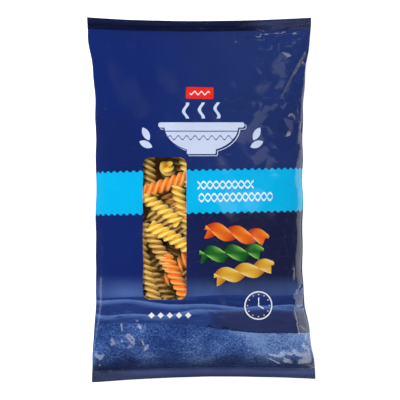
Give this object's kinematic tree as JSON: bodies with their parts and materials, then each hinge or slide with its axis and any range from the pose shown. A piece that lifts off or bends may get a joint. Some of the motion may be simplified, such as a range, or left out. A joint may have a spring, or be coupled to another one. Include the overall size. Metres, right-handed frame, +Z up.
{
  "type": "pasta packet",
  "caption": "Sealed film pillow bag of dried spiral pasta with a long clear window in its front, lying on its back.",
  "frame": {"origin": "middle of the bag's box, at the floor it lies on", "axes": "+Y along the bag towards its top seal, +X across it to the right as seen from the front, +Z up out of the printed front"},
  "size_m": [0.1774, 0.284, 0.0463],
  "materials": {
    "printed_film": "thin glossy packing film, printed royal and navy blue with a pale blue band",
    "dried_pasta": "dried semolina pasta, plain, spinach green and tomato orange, dull with a faint sheen"
  },
  "bodies": {
    "root": {"bag": "printed_film", "pasta": "dried_pasta"}
  },
  "joints": []
}
